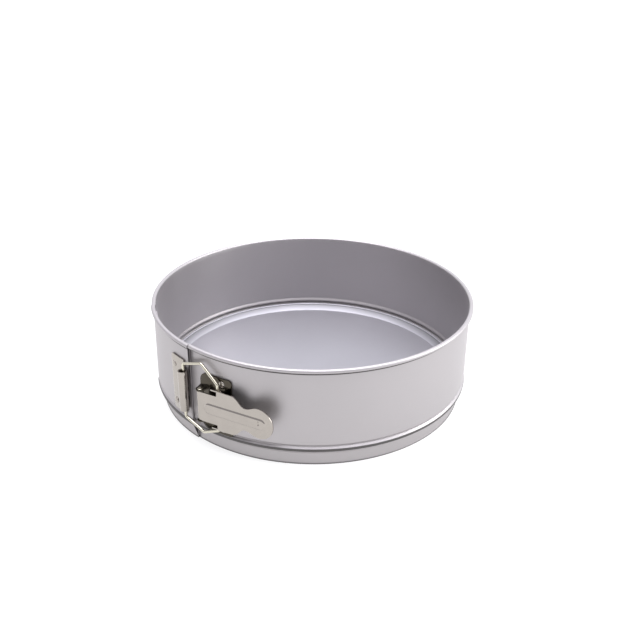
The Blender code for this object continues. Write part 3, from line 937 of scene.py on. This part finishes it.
def rivetTree():
    # domed rivets on points: each point's normal is the way out
    tree = bpy.data.node_groups.new("rivets", "GeometryNodeTree")
    face = tree.interface
    face.new_socket("Geometry", in_out="INPUT", socket_type="NodeSocketGeometry")
    for label in rivetSizes:
        socket = face.new_socket(label, in_out="INPUT", socket_type="NodeSocketFloat")
        socket.default_value = settings["rivets"][rivetSizes[label]]
    face.new_socket("Material", in_out="INPUT", socket_type="NodeSocketMaterial")
    face.new_socket("Geometry", in_out="OUTPUT", socket_type="NodeSocketGeometry")
    nodes, links = tree.nodes, tree.links
    given = nodes.new("NodeGroupInput")
    result = nodes.new("NodeGroupOutput")

    def math(operation, a, b):
        node = nodes.new("ShaderNodeMath")
        node.operation = operation
        for socket, value in zip(node.inputs, (a, b)):
            if isinstance(value, (int, float)):
                socket.default_value = value
            else:
                links.new(value, socket)
        return node.outputs[0]

    # the dome: the upper cap of a ball, flattened to the head's height
    ball = nodes.new("GeometryNodeMeshUVSphere")
    ball.inputs["Segments"].default_value = 36
    ball.inputs["Rings"].default_value = 24
    ball.inputs["Radius"].default_value = 1.0
    squeeze = nodes.new("GeometryNodeSetPosition")
    where = nodes.new("GeometryNodeInputPosition")
    apart = nodes.new("ShaderNodeSeparateXYZ")
    links.new(where.outputs[0], apart.inputs[0])
    level = math("MAXIMUM", apart.outputs["Z"], 0.0)
    flat = math("MULTIPLY", math("POWER", level, 0.8), given.outputs["Head Height"])
    x = math("MULTIPLY", apart.outputs["X"], given.outputs["Head Radius"])
    y = math("MULTIPLY", apart.outputs["Y"], given.outputs["Head Radius"])
    below = math("MINIMUM", apart.outputs["Z"], 0.0)
    skirt = math("MULTIPLY", below, 0.12 * mm)
    together = nodes.new("ShaderNodeCombineXYZ")
    links.new(x, together.inputs["X"])
    links.new(y, together.inputs["Y"])
    links.new(math("ADD", flat, skirt), together.inputs["Z"])
    links.new(ball.outputs["Mesh"], squeeze.inputs["Geometry"])
    links.new(together.outputs[0], squeeze.inputs["Position"])
    # the shank under it
    shank = nodes.new("GeometryNodeMeshCylinder")
    shank.inputs["Vertices"].default_value = 24
    links.new(given.outputs["Shank Radius"], shank.inputs["Radius"])
    links.new(given.outputs["Shank Length"], shank.inputs["Depth"])
    sink = nodes.new("GeometryNodeTransform")
    drop = nodes.new("ShaderNodeCombineXYZ")
    links.new(math("MULTIPLY", given.outputs["Shank Length"], -0.47), drop.inputs["Z"])
    links.new(shank.outputs["Mesh"], sink.inputs["Geometry"])
    links.new(drop.outputs[0], sink.inputs["Translation"])
    whole = nodes.new("GeometryNodeMeshBoolean")
    whole.operation = "UNION"
    links.new(squeeze.outputs["Geometry"], whole.inputs["Mesh 2"])
    links.new(sink.outputs["Geometry"], whole.inputs["Mesh 2"])
    # one at each point
    normal = nodes.new("GeometryNodeInputNamedAttribute")
    normal.data_type = "FLOAT_VECTOR"
    normal.inputs["Name"].default_value = "wayOut"
    align = nodes.new("FunctionNodeAlignRotationToVector")
    align.axis = "Z"
    links.new(normal.outputs["Attribute"], align.inputs["Vector"])
    copies = nodes.new("GeometryNodeInstanceOnPoints")
    links.new(given.outputs["Geometry"], copies.inputs["Points"])
    links.new(whole.outputs["Mesh"], copies.inputs["Instance"])
    links.new(align.outputs["Rotation"], copies.inputs["Rotation"])
    real = nodes.new("GeometryNodeRealizeInstances")
    links.new(copies.outputs["Instances"], real.inputs["Geometry"])
    smooth = nodes.new("GeometryNodeSetShadeSmooth")
    links.new(real.outputs["Geometry"], smooth.inputs["Geometry"])
    paint = nodes.new("GeometryNodeSetMaterial")
    links.new(smooth.outputs["Geometry"], paint.inputs["Geometry"])
    links.new(given.outputs["Material"], paint.inputs["Material"])
    links.new(paint.outputs["Geometry"], result.inputs["Geometry"])
    return tree


def rivetSet(name, tree, places, body, *nodes):
    # places are (point under the head, way out)
    data = bpy.data.meshes.new(name)
    data.from_pydata([tuple(p) for p, _ in places], [], [])
    ways = data.attributes.new("wayOut", "FLOAT_VECTOR", "POINT")
    for entry, (_, way) in zip(ways.data, places):
        entry.vector = way
    item = newObject(name, data)
    modifier = item.modifiers.new("rivets", "NODES")
    modifier.node_group = tree
    given = {s.name: s.identifier for s in tree.interface.items_tree if s.in_out == "INPUT"}
    for label in rivetSizes:
        modifier[given[label]] = settings["rivets"][rivetSizes[label]]
    modifier[given["Material"]] = plateMetal
    bake(item)
    finish(item, plateMetal, "latch_metal", body, *nodes)
    print(name + ":", len(item.data.polygons))


def makeRivets():
    r = settings["rivets"]
    b = settings["band"]
    tree = rivetTree()
    onKeeper = b["innerRadius"] + 3 * b["sheet"] + 2 * b["overlapGap"]
    onBracket = b["innerRadius"] + 2 * b["sheet"] + b["overlapGap"]
    keeperPlaces = []
    bracketPlaces = []
    for side in (1, -1):
        z = latchHeight + r["keeperRise"] + side * r["keeperHalf"]
        keeperPlaces.append((around(r["keeperAzimuth"], onKeeper, z), outward(r["keeperAzimuth"])))
        z = latchHeight + side * r["bracketHalf"]
        bracketPlaces.append((around(r["bracketAzimuth"], onBracket, z), outward(r["bracketAzimuth"])))
    rivetSet("keeperRivets", tree, keeperPlaces, "left_end", "keeper_rivet_upper", "keeper_rivet_lower")
    rivetSet("bracketRivets", tree, bracketPlaces, "pan", "bracket_rivet_upper", "bracket_rivet_lower")


makeBand()
makeBase()
makeLever()
makeBail()
makeKeeper()
makeBracket()
makePin()
makeRivets()


settings["studio"] = {
    "floorColour": (0.24, 0.24, 0.24),
    "floorGlow": 0.78,
    "dimSide": (0.58, 0.57, 0.61, 1.0),
    "litSide": (1.42, 1.43, 1.50, 1.0),
    "brightSide": (0.50, 0.75, 0.15),
    "cameraBack": 589.86 * mm,
    "cameraUp": 340.6 * mm,
    "pitch": 25.56,
    "roll": 0.579,
    "lens": 49.62,
}


def makeFloor():
    bm = bmesh.new()
    bmesh.ops.create_grid(bm, x_segments=2, y_segments=2, size=6.0)
    data = bpy.data.meshes.new("floor")
    bm.to_mesh(data)
    bm.free()
    floor = newObject("floor", data)
    material = bpy.data.materials.new("white paper")
    shader, add, join = nodeTools(material)
    place = add("ShaderNodeTexCoord").outputs["Object"]
    shader.inputs["Roughness"].default_value = 0.8
    shader.inputs["Base Color"].default_value = (*settings["studio"]["floorColour"], 1.0)
    shader.inputs["Emission Color"].default_value = (1.0, 1.0, 1.0, 1.0)
    shader.inputs["Emission Strength"].default_value = settings["studio"]["floorGlow"]
    bump = add("ShaderNodeBump")
    bump.inputs["Strength"].default_value = 0.05
    bump.inputs["Distance"].default_value = 0.0002
    join(noise(add, join, place, 300.0), bump.inputs["Height"])
    join(bump.outputs["Normal"], shader.inputs["Normal"])
    data.materials.append(material)


def softbox(name, place, target, size, power, colour=(1.0, 1.0, 1.0)):
    light = bpy.data.lights.new(name, "AREA")
    light.shape = "RECTANGLE"
    light.size, light.size_y = size
    light.energy = power
    light.color = colour
    item = newObject(name, light)
    item.location = place
    item.rotation_euler = (Vector(target) - Vector(place)).to_track_quat("-Z", "Y").to_euler()


def makeStudio():
    # glowing white table, an overhead box, a window on the right
    makeFloor()
    softbox("overhead", (0.0, -0.1, 1.6), (0.0, 0.0, 0.0), (2.0, 1.6), 38.0, (0.99, 0.98, 1.04))
    softbox("windowRight", (1.7, -0.1, 0.6), (0.0, 0.0, 0.05), (1.1, 0.9), 16.0)
    world = bpy.data.worlds.new("white studio")
    world.use_nodes = True
    tree = world.node_tree
    background = tree.nodes["Background"]
    coord = tree.nodes.new("ShaderNodeTexCoord")
    lean = tree.nodes.new("ShaderNodeVectorMath")
    lean.operation = "DOT_PRODUCT"
    lean.inputs[1].default_value = settings["studio"]["brightSide"]
    ramp = tree.nodes.new("ShaderNodeValToRGB")
    shift = tree.nodes.new("ShaderNodeMapRange")
    shift.inputs["From Min"].default_value = -1.0
    tree.links.new(coord.outputs["Generated"], lean.inputs[0])
    tree.links.new(lean.outputs["Value"], shift.inputs["Value"])
    tree.links.new(shift.outputs["Result"], ramp.inputs["Fac"])
    ramp.color_ramp.interpolation = "EASE"
    ramp.color_ramp.elements[0].position = 0.15
    ramp.color_ramp.elements[0].color = settings["studio"]["dimSide"]
    ramp.color_ramp.elements[1].position = 0.85
    ramp.color_ramp.elements[1].color = settings["studio"]["litSide"]
    tree.links.new(ramp.outputs["Color"], background.inputs["Color"])
    background.inputs["Strength"].default_value = 1.0
    bpy.context.scene.world = world


def makeCamera():
    s = settings["studio"]
    data = bpy.data.cameras.new("camera")
    data.lens = s["lens"]
    data.sensor_width = 36.0
    data.clip_end = 20.0
    camera = newObject("camera", data)
    pitch, roll = radians(s["pitch"]), radians(s["roll"])
    forward = Vector((0.0, cos(pitch), -sin(pitch)))
    right = Vector((1.0, 0.0, 0.0))
    above = right.cross(forward)
    turnedRight = right * cos(roll) + above * sin(roll)
    turnedUp = above * cos(roll) - right * sin(roll)
    place = panAxis + Vector((0.0, -s["cameraBack"], s["cameraUp"]))
    camera.matrix_world = Matrix((
        (turnedRight.x, turnedUp.x, -forward.x, place.x),
        (turnedRight.y, turnedUp.y, -forward.y, place.y),
        (turnedRight.z, turnedUp.z, -forward.z, place.z),
        (0.0, 0.0, 0.0, 1.0),
    ))
    bpy.context.scene.camera = camera
    bpy.context.scene.view_settings.view_transform = "Standard"


makeStudio()
makeCamera()
print("studio ready")
